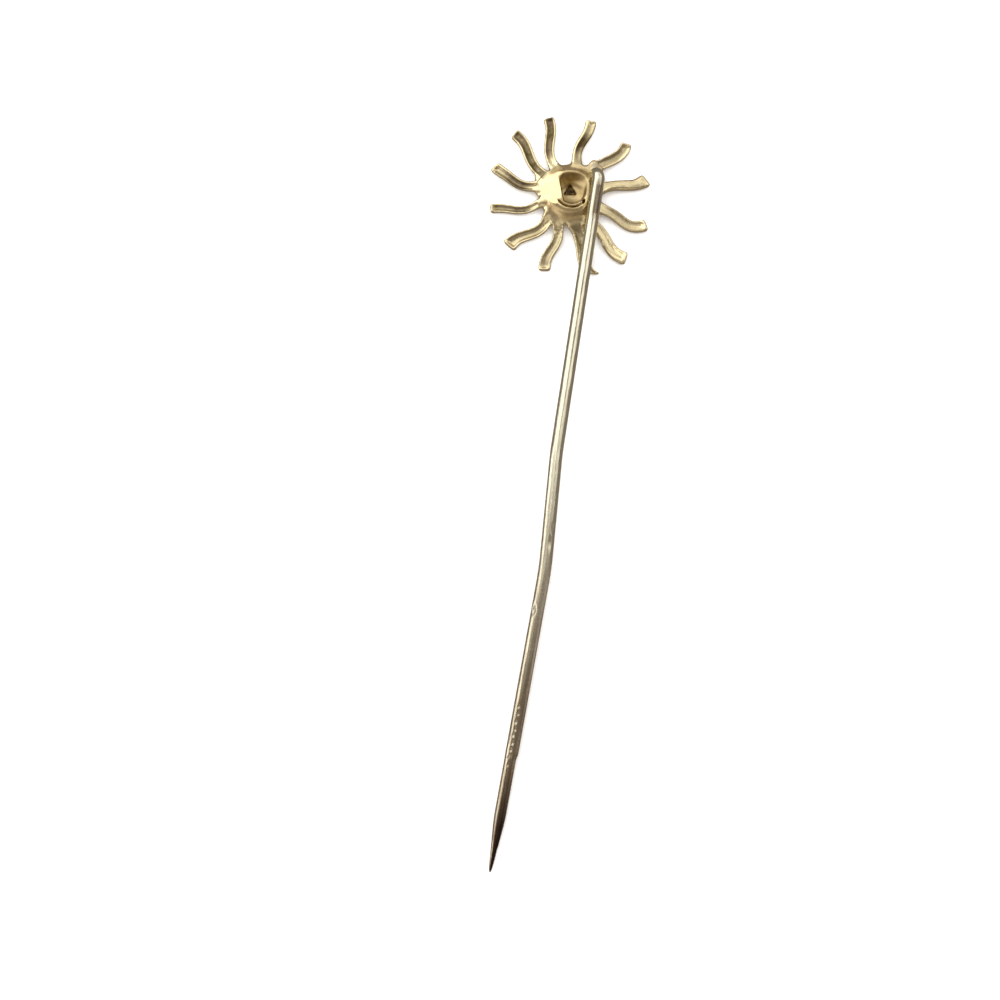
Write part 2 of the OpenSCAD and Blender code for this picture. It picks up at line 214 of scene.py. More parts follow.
class PinHeadSizes(bpy.types.PropertyGroup):
    """Sizes of the cast head, in millimetres"""

    radius: FloatProperty(
        name="Head radius", description="Radius that the rays' reaches are shares of", default=6.8
    )
    boss: FloatProperty(name="Boss radius", description="Radius of the boss in the middle", default=2.45)
    boss_height: FloatProperty(
        name="Boss height", description="Height of the boss above the floor", default=1.505
    )
    ray_width: FloatProperty(name="Ray width", description="Width of an ordinary ray", default=0.92)
    ray_thick: FloatProperty(name="Ray thickness", description="Thickness of a ray", default=0.5)
    ray_rise: FloatProperty(
        name="Ray rise", description="How much higher a root lies than a tip", default=0.42
    )
    channel: FloatProperty(
        name="Channel depth", description="Depth of the channel along a ray", default=0.2
    )
    rim: FloatProperty(name="Rim width", description="Width of the rims beside the channel", default=0.2)
    flare: FloatProperty(
        name="Root flare", description="How much wider a ray's root is", subtype="FACTOR", default=0.5
    )
    swell: FloatProperty(
        name="Root swell", description="How much thicker a ray's root is", subtype="FACTOR", default=0.3
    )
    stone: FloatProperty(name="Stone radius", description="Radius of the stone's girdle", default=0.9)
    rim_wall: FloatProperty(
        name="Setting rim", description="Thickness of the metal round the stone", default=0.38
    )
    hole: FloatProperty(name="Hole radius", description="Radius of the hole behind the stone", default=0.5)
    recess: FloatProperty(name="Recess radius", description="Radius of the drilled recess", default=1.17)
    recess_depth: FloatProperty(
        name="Recess depth", description="Depth of the drilled recess", default=0.55
    )
    lip: FloatProperty(
        name="Lip height", description="Height of the fine lip round the recess", default=0.085
    )
    voxel: FloatProperty(
        name="Casting grain", description="Size of the mesh of the cast head", default=0.052
    )


class PinStemSizes(bpy.types.PropertyGroup):
    """Sizes of the wire stem, in millimetres, and its angles"""

    wire: FloatProperty(name="Wire", description="Diameter of the wire", default=1.06)
    length: FloatProperty(name="Stem length", description="From the bend to the point", default=58.2)
    thin_length: FloatProperty(name="Thin end", description="Length of the thinner end", default=9.8)
    thin: FloatProperty(name="Thin diameter", description="Diameter of the thinner end", default=0.95)
    step: FloatProperty(name="Step", description="Length of the step down to the thinner end", default=0.6)
    taper: FloatProperty(name="Taper", description="Length of the taper at the point", default=4.6)
    bend: FloatProperty(
        name="Bend radius", description="Radius of the wire's middle in the bend", default=0.7
    )
    turn: FloatProperty(
        name="Bend angle",
        description="How far the wire turns down",
        subtype="ANGLE",
        default=math.radians(80),
    )
    aside: FloatProperty(
        name="Bend aside",
        description="How far the bend turns to the left",
        subtype="ANGLE",
        default=math.radians(24),
    )
    x: FloatProperty(name="Stem side", description="How far the stem runs beside the middle", default=2.12)
    y: FloatProperty(name="Stem top", description="Where the bend starts", default=1.15)
    height: FloatProperty(
        name="Stem height", description="Height of the wire's middle at the bend", default=2.2148
    )
    slope: FloatProperty(
        name="Stem slope",
        description="How steeply the stem falls",
        subtype="ANGLE",
        default=math.radians(1.8756),
    )
    sweep: FloatProperty(name="Kink radius", description="Radius of the slight bends", default=26.5)
    sides: IntProperty(name="Sides", description="Faces round the wire", default=64)


class PinColours(bpy.types.PropertyGroup):
    """Colours of the metal, the stone and the floor"""

    gold: FloatVectorProperty(
        name="Gold", description="Colour of the boss", subtype="COLOR", default=(0.8, 0.68, 0.42)
    )
    gold_deep: FloatVectorProperty(
        name="Deep gold", description="Colour of duller gold", subtype="COLOR", default=(0.68, 0.54, 0.3)
    )
    gold_pale: FloatVectorProperty(
        name="Pale gold", description="Colour of the rays", subtype="COLOR", default=(0.81, 0.71, 0.455)
    )
    # Colour in the ray channels, for their tarnish and their painted shade
    tarnish_and_shade: FloatVectorProperty(
        name="Tarnish", description="Colour in the channels", subtype="COLOR", default=(0.08, 0.046, 0.03)
    )
    # Second colour in the ray channels, for tarnish and painted shade alike
    olive_tarnish_and_shade: FloatVectorProperty(
        name="Olive tarnish",
        description="Second colour in the channels",
        subtype="COLOR",
        default=(0.09, 0.07, 0.024),
    )
    # Brown of the boss's patina and stains, and of the painted shade in the recess, the groove and the
    # boss's side towards the point
    boss_tarnish_and_shade: FloatVectorProperty(
        name="Recess tarnish",
        description="Colour in the recess",
        subtype="COLOR",
        default=(0.17, 0.1, 0.02),
    )
    # Black of the painted shadow in the pit and in the groove
    black_painted_shadow: FloatVectorProperty(
        name="Black tarnish",
        description="Colour in the pit and the groove",
        subtype="COLOR",
        default=(0.03, 0.018, 0.006),
    )
    wire: FloatVectorProperty(
        name="Wire", description="Colour of the stem", subtype="COLOR", default=(0.62, 0.6, 0.49)
    )
    wire_dull: FloatVectorProperty(
        name="Dull wire", description="Colour of worn wire", subtype="COLOR", default=(0.255, 0.185, 0.12)
    )
    wire_black: FloatVectorProperty(
        name="Black wire",
        description="Colour of the blackened point",
        subtype="COLOR",
        default=(0.025, 0.014, 0.012),
    )
    solder: FloatVectorProperty(
        name="Solder", description="Colour of the solder", subtype="COLOR", default=(0.3, 0.29, 0.25)
    )
    # The stone's brown is partly its tint and partly painted shade for the hole behind it
    stone: FloatVectorProperty(
        name="Stone", description="Colour of the stone", subtype="COLOR", default=(0.24, 0.14, 0.045)
    )
    floor: FloatVectorProperty(
        name="Floor", description="Colour of the floor", subtype="COLOR", default=(0.9, 0.9, 0.9)
    )


def loft(bm, rings):
    """Joins rings of points into a closed body."""
    before = None
    ends = []
    for ring in rings:
        verts = [bm.verts.new(p) for p in ring]
        edges = [bm.edges.new((verts[i - 1], verts[i])) for i in range(len(verts))]
        if before:
            bmesh.ops.bridge_loops(bm, edges=before + edges)
        else:
            ends.append(edges)
        before = edges
    ends.append(before)
    for edges in ends:
        bmesh.ops.contextual_create(bm, geom=edges)


def settle(bm):
    """Marks all points so far as in their place, so that turned() moves only its own."""
    for v in bm.verts:
        v.tag = True


def lump(bm, radius, stretch, place, subdivisions=3):
    """Adds a stretched ball."""
    made = bmesh.ops.create_icosphere(bm, subdivisions=subdivisions, radius=radius)["verts"]
    bmesh.ops.scale(bm, vec=stretch, verts=made)
    bmesh.ops.translate(bm, vec=place, verts=made)


def turned(bm, profile, middle, steps=96):
    """Turns a profile of radii and heights round an upright axis through middle."""
    verts = [bm.verts.new((r, 0, z)) for r, z in profile]
    edges = [bm.edges.new(pair) for pair in zip(verts, verts[1:])]
    whole = {"cent": (0, 0, 0), "axis": (0, 0, 1), "angle": math.tau, "use_merge": True}
    bmesh.ops.spin(bm, geom=verts + edges, steps=steps, **whole)
    bmesh.ops.translate(bm, vec=middle, verts=[v for v in bm.verts if not v.tag])
    settle(bm)


def closed(bm):
    """The bmesh with its seams merged and its faces turned outwards."""
    bmesh.ops.remove_doubles(bm, verts=bm.verts, dist=0.0001)
    bmesh.ops.recalc_face_normals(bm, faces=bm.faces)
    return bm


def temporary(bm, name):
    """A hidden helper object with a copy of the bmesh."""
    mesh = bpy.data.meshes.new(name)
    bm.to_mesh(mesh)
    helper = bpy.data.objects.new(name, mesh)
    bpy.context.scene.collection.objects.link(helper)
    return helper


def applied(helper):
    """The helper's mesh with its modifiers applied, as a bmesh. The helper goes."""
    depsgraph = bpy.context.evaluated_depsgraph_get()
    mesh = bpy.data.meshes.new_from_object(helper.evaluated_get(depsgraph))
    bm = bmesh.new()
    bm.from_mesh(mesh)
    bpy.data.meshes.remove(mesh)
    remove(helper)
    return bm


def smoothed(bm, verts, rounds):
    """Smooths some points of the bmesh, so many times."""
    axes = {"use_axis_x": True, "use_axis_y": True, "use_axis_z": True}
    for _ in range(rounds):
        bmesh.ops.smooth_vert(bm, verts=verts, factor=0.5, **axes)


def remove(helper):
    """Removes a helper object and its mesh."""
    mesh = helper.data
    bpy.data.objects.remove(helper)
    bpy.data.meshes.remove(mesh)


def remeshed(bm, voxel):
    """One skin round all the bodies in the bmesh."""
    helper = temporary(bm, "skin")
    skin = helper.modifiers.new("skin", "REMESH")
    skin.mode = "VOXEL"
    skin.voxel_size = voxel
    bm.free()
    return applied(helper)


def cut(bm, cutters):
    """The bmesh less each of the cutters."""
    helper = temporary(bm, "body")
    bm.free()
    tools = [temporary(cutter, "cutter") for cutter in cutters]
    for cutter in cutters:
        cutter.free()
    for tool in tools:
        boolean = helper.modifiers.new("cut", "BOOLEAN")
        boolean.operation = "DIFFERENCE"
        boolean.solver = "EXACT"
        boolean.object = tool
    made = applied(helper)
    for tool in tools:
        remove(tool)
    return made


def finished(bm, name, material):
    """Sets the shape in its place in the frame and makes it a piece that stands for the metal."""
    bmesh.ops.scale(bm, vec=(MM, MM, MM), verts=bm.verts)
    bmesh.ops.translate(bm, vec=HEAD, verts=bm.verts)
    bmesh.ops.recalc_face_normals(bm, faces=bm.faces)
    for face in bm.faces:
        face.smooth = True
    mesh = bpy.data.meshes.new(name)
    bm.to_mesh(mesh)
    bm.free()
    mesh.materials.append(material)
    piece = bpy.data.objects.new(name, mesh)
    bpy.context.scene.collection.objects.link(piece)
    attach(piece, "root")
    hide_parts("sunburst_pin")
    return piece


class Ray:
    """One ray: where its middle runs and how it is shaped along its way."""

    def __init__(self, row, sizes):
        self.row = row
        self.sizes = sizes
        self.length = sizes.radius * row["reach"] - sizes.boss

    def angle(self, t):
        """The direction of the ray's middle at a share of its way, in degrees."""
        row = self.row
        return (
            row["root"]
            + (row["tip"] - row["root"]) * t
            + row["bow"] * math.sin(math.pi * t)
            + row["swing"] * math.sin(math.tau * t)
            + row["hook"] * max(0, (t - 0.8) / 0.2) ** 2
        )

    def middle(self, t):
        """The ray's middle at a share of its way."""
        return plan(self.sizes.boss + self.length * t, self.angle(t))

    def way(self, t):
        """The direction in which the ray runs."""
        return (self.middle(t + 0.01) - self.middle(t - 0.01)).normalized()

    def near_root(self, t):
        """From 1 at the root, where the ray grows out of the boss, to 0."""
        return max(0, 1 - max(0, t) / 0.26) ** 2

    def half(self, t):
        """Half the ray's width."""
        wide = self.sizes.ray_width * self.row["wide"] / 2
        flare = self.sizes.flare * self.near_root(t) + self.row["fan"] * 0.4 * ease(t * 3 - 2)
        return wide * (0.88 + 0.2 * t + flare)

    def thick(self, t):
        """The ray's thickness."""
        return self.sizes.ray_thick * (1 + self.sizes.swell * self.near_root(t))

    def deep(self, t):
        """The channel's depth."""
        return self.sizes.channel * self.row["deep"] * (1 - self.near_root(t * 0.8))

    def lift(self, t):
        """How high the ray's underside lies."""
        rise = self.sizes.ray_rise * (1 - max(0, t)) ** 1.3
        curl = math.tan(math.radians(self.row["curl"])) * self.length
        if curl < 0:
            return rise - curl * (0.25 - max(0, t - 0.75)) * ease(t / 0.75)
        return rise + curl * max(0, t - 0.7)

    def dull_and_shade(self, t):
        """How dark the channel is painted, from three values along it: partly tarnish, partly painted
        shade.
        """
        near, middle, far = self.row["dull_and_shade"]
        if t < 0.5:
            return near + (middle - near) * ease((t - 0.1) / 0.3)
        return middle + (far - middle) * ease((t - 0.55) / 0.3)

    def across(self, u, lean):
        """How far down the channel is at u, from -1 to 1 across the ray."""
        side = (u - lean * 0.4) / (1 - 0.4 * abs(lean)) / 0.78
        return max(0, 1 - side * side) ** 0.8

    def section(self, t, full=1, sunk=1, thick=1):
        """The ring round the ray at a share of its way: its channelled back and its plain underside."""
        half = self.half(t) * full
        height = self.thick(t) * thick
        deep = self.deep(t) * sunk
        lean = self.row["lean"]
        points = []
        for i in range(17):
            u = -1 + i / 8
            # The points lie closer together towards the rims
            u = math.copysign(abs(u) ** 0.8, u)
            z = height - deep * self.across(u, lean) - height * 0.22 * abs(u) ** 7
            points.append((u * half, z))
        points += [(half, height * 0.45), (half * 0.86, height * 0.14), (half * 0.62, 0)]
        points += [(-half * 0.62, 0), (-half * 0.86, height * 0.14), (-half, height * 0.45)]
        roll = math.radians(self.row["roll"] * max(0, t))
        low = self.lift(t) + (1 - thick) * self.sizes.ray_thick * 0.4 + half * 0.62 * abs(math.sin(roll))
        way = self.way(t)
        right = Vector((-way.y, way.x, 0))
        ring = []
        for x, z in points:
            out = x * math.cos(roll) - z * math.sin(roll)
            up = z * math.cos(roll) + x * math.sin(roll)
            ring.append(self.middle(t) + right * out + Vector((0, 0, low + up)))
        return ring

    def rings(self):
        """The sections of the whole ray, from inside the boss to its tip."""
        made = [self.section(t) for t in RAY_STATIONS]
        for back, full, sunk, thick, pointed in RAY_ENDS:
            full += (pointed - full) * self.row["point"]
            made.append(self.section(1 - back * self.sizes.rim / self.length, full, sunk, thick))
        return made

    def place(self, point):
        """The share of the ray's way and the place across it of a point, or None off the ray."""
        t = (math.hypot(point.x, point.y) - self.sizes.boss) / self.length
        if t < -0.1:
            return None
        t = min(t, 1.05)
        away = point - self.middle(t)
        way = self.way(t)
        t += away.dot(way) / self.length
        side = (-way.y * away.x + way.x * away.y) / self.half(min(t, 1))
        return (t, side) if abs(side) < 1.3 and t < 1.2 else None


def left_wall(y):
    """Where the straight left wall of the recess stands at a place along the pin."""
    return -0.83 - 0.36 * y


def off_the_arc(point):
    """From 0 on the lower arc of the recess, where the lip stands up, to 1 elsewhere."""
    return ease((0.66 - toward(point - RECESS, ARC_WAY)) * 5)


def uneven(point, skin):
    """How far a skin stands out or in at a point."""
    depth, size = skin
    return depth * noise.noise(point / size)


def channel_tarnish_and_shade(point, rays):
    """How dark a point is painted in the rays' channels: partly tarnish, partly painted shade."""
    dull_and_shade = 0.0
    for ray in rays:
        spot = ray.place(point)
        if spot is None:
            continue
        t, side = spot
        lean = ray.row["lean"]
        inside = ease((0.78 + 0.25 * abs(lean) - abs(side - 0.45 * lean)) * 4)
        end = 0.98 + 0.4 * max(0, ray.dull_and_shade(1) - 0.7)
        dull_and_shade = max(dull_and_shade, ray.dull_and_shade(t) * inside * ease((t + 0.02) * 9) * ease((end - t) * 9))
    return dull_and_shade


def recess_patina_and_shade(point, sizes):
    """How dark a point is painted in the recess: brown patina, with painted shade that deepens towards the
    upper-left wall.
    """
    hollow = (point - RECESS - Vector((-0.1, 0.25, 0))).xy.length
    if hollow >= 1.7 or point.z <= 0.8:
        return 0.0
    below = sizes.boss_height - 0.05 - point.z
    inside = max(ease(below * 6), ease(point.x * 2 - 1.1) * ease(point.y * 2 + 1))
    inside *= ease((point.x - left_wall(point.y)) * 8 + 0.5)
    # Painted shade: the recess darkens towards its upper-left wall, which faces away from the light
    far = ease((point - RECESS).dot(plan(1, SHADE_WAY)) * 3 - 1.1)
    return inside * ease((1.7 - hollow) * 3) * (0.62 + 0.24 * far)


def crescent_painted_shadow(point, sizes):
    """Painted shadow: how dark a point is painted in the groove outside the lip's arc."""
    rim = abs((point - RECESS).xy.length - sizes.recess - 0.235)
    dark = ease((toward(point - RECESS, CRESCENT_WAY) - 0.64) * 6)
    return ease(1.9 - rim / 0.05) * (0.25 + dark) * (1 - off_the_arc(point))


def boss_low_painted_shade(point):
    """Painted shade: how dark a point is painted on the boss's side towards the stem's point."""
    low = ease((2.7 - point.xy.length) * 3) * ease(-0.4 - point.y)
    return 0.46 * low * ease(point.x + 1) * ease((1.5 - point.x) * 2)


def stains_and_pit_shade(point):
    """How dark a point is in the single stains and in the pit, where the dark is painted shade."""
    dull_and_shade = 0.0
    for x, y, turn, length, width, share in STAINS_AND_PIT_SHADE:
        away = point - Vector((x, y, 0))
        way = plan(1, turn)
        gap = math.hypot(away.dot(way) / length, (away.x * way.y - away.y * way.x) / width)
        dull_and_shade = max(dull_and_shade, share * ease(1.6 - gap))
    return dull_and_shade


def write_tarnish_and_shade(bm, rays, sizes):
    """Writes how dark each point of the head is painted, by tarnish and by painted shade, and whether it
    lies on the boss or the rays.
    """
    olive = bm.verts.layers.float.new("olive")
    layer = bm.verts.layers.float.new("tarnish_and_shade")
    for v in bm.verts:
        p = v.co
        # The undersides get neither tarnish nor painted shade
        if v.normal.z > 0.1:
            v[layer] = max(
                channel_tarnish_and_shade(p, rays),
                recess_patina_and_shade(p, sizes),
                crescent_painted_shadow(p, sizes),
                boss_low_painted_shade(p),
                stains_and_pit_shade(p),
            )
        v[olive] = ease((p.xy.length - 2.2) * 2)


class PIN_OT_head(bpy.types.Operator):
    """Casts the head: twelve channelled rays, the domed boss with its recess, the setting's rim"""

    bl_idname = "stick_pin.head"
    bl_label = "Cast the head"

    def execute(self, context):
        sizes = context.scene.pin_head
        rays = [Ray(row, sizes) for row in RAYS]
        bm = bmesh.new()
        for ray in rays:
            loft(bm, ray.rings())
        settle(bm)
        self.boss(bm, sizes)
        bm = remeshed(closed(bm), sizes.voxel)
        hollows = (self.seat, self.drill, self.scoop, self.groove, self.pit)
        bm = cut(bm, [hollow(sizes) for hollow in hollows])
        bm = remeshed(bm, sizes.voxel)
        self.soften(bm, sizes)
        self.file_flat(bm, sizes)
        bm.normal_update()
        write_tarnish_and_shade(bm, rays, sizes)
        for v in bm.verts:
            v.co += v.normal * uneven(v.co, CAST_SKIN)
        finished(bm, "sunburst_head", gold_cast(context))
        return {"FINISHED"}

    def boss(self, bm, sizes):
        """Adds the domed boss, the webs between the rays and the rim of metal round the stone."""
        face = sizes.ray_rise * 0.85
        top, boss = sizes.boss_height, sizes.boss
        dome = (
            (0, face), (boss - 0.25, face), (boss + 0.2, face + 0.12), (boss + 0.22, face + 0.3),
            (boss - 0.05, top - 0.52), (boss - 0.4, top - 0.27), (boss - 0.72, top - 0.09),
            (boss - 1.02, top), (0, top),
        )
        turned(bm, dome, Vector())
        for angle, far, size in WEBS:
            lump(bm, size, (1, 1, 0.42), SETTING + plan(far, angle) + Vector((0, 0, 0.66)), 2)
        settle(bm)
        outside = sizes.stone + STONE_GAP + sizes.rim_wall
        rim = (
            (0, 0), (outside - 0.1, 0), (outside, 0.1), (outside + 0.1, face + 0.1),
            (0, face + 0.1),
        )
        turned(bm, rim, SETTING)

    def soften(self, bm, sizes):
        """Smooths the casting a little everywhere, and more where the rays leave the boss."""
        smoothed(bm, bm.verts, 3)
        for far, rounds in SOFT_ROOTS:
            smoothed(bm, [v for v in bm.verts if self.foot(v.co, sizes, far)], rounds)
        bm.normal_update()
        smoothed(bm, [v for v in bm.verts if self.runs_out(v, sizes)], 60)
        smoothed(bm, [v for v in bm.verts if self.shoulder(v.co, sizes)], 30)

    def foot(self, point, sizes, far):
        """Whether a point is near the rays' feet and clear of the setting and the recess."""
        setting = sizes.stone + sizes.rim_wall + 0.2
        clear = (point - SETTING).xy.length > setting or point.z > 1.1
        return 1.9 < point.xy.length < far and clear

    def runs_out(self, v, sizes):
        """Whether a point is on the boss's left, where its top runs out smoothly between the rays."""
        return v.normal.z > 0.3 and toward(v.co, 222) > 0.2 and self.foot(v.co, sizes, 2.95)

    def shoulder(self, point, sizes):
        """Whether a point is on the worn edge of the recess, above it and to its right."""
        spot = point - RECESS
        high = point.z > sizes.boss_height - 0.5
        return 1.0 < spot.xy.length < 2.1 and toward(spot, 55) > 0.1 and high

    def file_flat(self, bm, sizes):
        """Files the left side of the boss flat, up to the recess."""
        for v in bm.verts:
            if v.co.z > 0.9:
                flat = sizes.boss_height - FACET_SLOPE * (v.co.dot(FACET_WAY) - FACET_START)
                v.co.z = min(v.co.z, flat)

    def straight_left(self, bm):
        """Cuts the left side of a hollow off along the straight edge that the filing left."""
        for v in bm.verts:
            v.co.x = max(v.co.x, left_wall(v.co.y))

    def seat(self, sizes):
        """The stone's seat, open in front, and the hole behind it."""
        seat = sizes.stone + STONE_GAP
        crown, girdle, pavilion = (share * sizes.stone for share in (CROWN, GIRDLE, PAVILION))
        lip = seat - 0.14
        girdle_z = TABLE_DROP + crown
        top = girdle_z + girdle + pavilion * (seat - sizes.hole) / sizes.stone + STONE_GAP
        profile = (
            (0, -0.1), (seat, -0.1), (seat, 0), (lip, 0.1), (lip, girdle_z - crown * 0.5),
            (seat, girdle_z - STONE_GAP), (seat, girdle_z + girdle + STONE_GAP), (sizes.hole, top),
            (sizes.hole, top + 0.4), (0, top + 0.4),
        )
        bm = bmesh.new()
        turned(bm, profile, Vector())
        # The hole was filed three-cornered
        for v in bm.verts:
            if v.co.z > top - 0.01 and v.co.xy.length > 0.1:
                side = (math.degrees(math.atan2(v.co.y, v.co.x)) - HOLE_CORNER) % 120 - 60
                far = min(0.67 / math.cos(math.radians(side)), 1.16)
                v.co.x *= far
                v.co.y *= far
        bmesh.ops.translate(bm, vec=SETTING, verts=bm.verts)
        return closed(bm)

    def drill(self, sizes):
        """The recess, which narrows in steps towards the hole."""
        top, deep, r = sizes.boss_height, sizes.recess_depth, sizes.recess
        low = top - deep
        profile = (
            (0, low), (sizes.hole + 0.06, low), (r * 0.75, low + deep * 0.25),
            (r * 0.95, low + deep * 0.5), (r, top - 0.07), (r, top + 1), (0, top + 1),
        )
        bm = bmesh.new()
        turned(bm, profile, RECESS)
        self.straight_left(bm)
        return closed(bm)

    def scoop(self, sizes):
        """The shallow, squarish hollow that runs into the recess."""
        bm = bmesh.new()
        bmesh.ops.create_icosphere(bm, subdivisions=4, radius=1)
        for v in bm.verts:
            v.co.x = math.copysign(abs(v.co.x) ** 0.65, v.co.x)
            v.co.y = math.copysign(abs(v.co.y) ** 0.7, v.co.y)
        bmesh.ops.scale(bm, vec=SCOOP_SIZE, verts=bm.verts)
        place = SCOOP_PLACE + Vector((0, 0, sizes.boss_height))
        bmesh.ops.translate(bm, vec=place, verts=bm.verts)
        self.straight_left(bm)
        return bm

    def groove(self, sizes):
        """The fine groove outside the lip."""
        top, r = sizes.boss_height, sizes.recess + sizes.lip * 2
        profile = (
            (r - 0.01, top + 0.2), (r + 0.02, top - 0.13), (r + 0.11, top - 0.13),
            (r + 0.18, top + 0.2), (r - 0.01, top + 0.2),
        )
        bm = bmesh.new()
        turned(bm, profile, RECESS)
        closed(bm)
        for v in bm.verts:
            v.co.z += ARC_DROP * off_the_arc(v.co)
        return bm

    def pit(self, sizes):
        """The small pit where the arc of the lip ends."""
        bm = bmesh.new()
        bmesh.ops.create_icosphere(bm, subdivisions=3, radius=1)
        bmesh.ops.scale(bm, vec=PIT_SIZE, verts=bm.verts)
        lie = Matrix.Rotation(math.radians(PIT_WAY), 3, "Z")
        bmesh.ops.rotate(bm, matrix=lie, verts=bm.verts)
        bmesh.ops.translate(bm, vec=PIT + Vector((0, 0, sizes.boss_height)), verts=bm.verts)
        return bm


class PIN_OT_lip(bpy.types.Operator):
    """Raises the fine lip that the drill left round the recess"""

    bl_idname = "stick_pin.lip"
    bl_label = "Raise the lip"

    def execute(self, context):
        sizes = context.scene.pin_head
        top, lip, r = sizes.boss_height, sizes.lip, sizes.recess
        profile = (
            (r - 0.03, top - 0.2), (r - 0.03, top + lip * 0.2), (r + lip * 0.4, top + lip * 0.9),
            (r + lip * 0.9, top + lip), (r + lip * 1.5, top + lip * 0.5), (r + lip * 2, top - 0.1),
            (r + lip * 2, top - 0.2), (r - 0.03, top - 0.2),
        )
        bm = bmesh.new()
        turned(bm, profile, RECESS, steps=160)
        bmesh.ops.remove_doubles(bm, verts=bm.verts, dist=0.0001)
        # It stands up along the lower left, and its ends sink into the boss
        doomed = [v for v in bm.verts if off_the_arc(v.co) > 0.95 or (v.co - PIT).xy.length < 0.24]
        bmesh.ops.delete(bm, geom=doomed, context="VERTS")
        bmesh.ops.holes_fill(bm, edges=[e for e in bm.edges if e.is_boundary])
        for v in bm.verts:
            v.co.z -= ARC_DROP * off_the_arc(v.co) - uneven(v.co, LIP_SKIN)
        finished(bm, "recess_lip", gold_cast(context))
        return {"FINISHED"}


def moved(x, y, z):
    """A matrix that moves by x, y and z."""
    return Matrix.Translation((x, y, z))


def swung(angle, axis, beside=0):
    """A matrix that turns round an axis, which may stand beside the wire."""
    return moved(beside, 0, 0) @ Matrix.Rotation(angle, 4, axis) @ moved(-beside, 0, 0)


def ring_at(place, radius):
    """The matrix of a ring across the wire, which runs towards -Y."""
    return place @ swung(math.radians(90), "X") @ Matrix.Diagonal((radius, radius, 1, 1))


def stepped(length, step):
    """Places along a length, about a step apart, without its end."""
    count = round(length / step)
    return [length * i / count for i in range(count)]


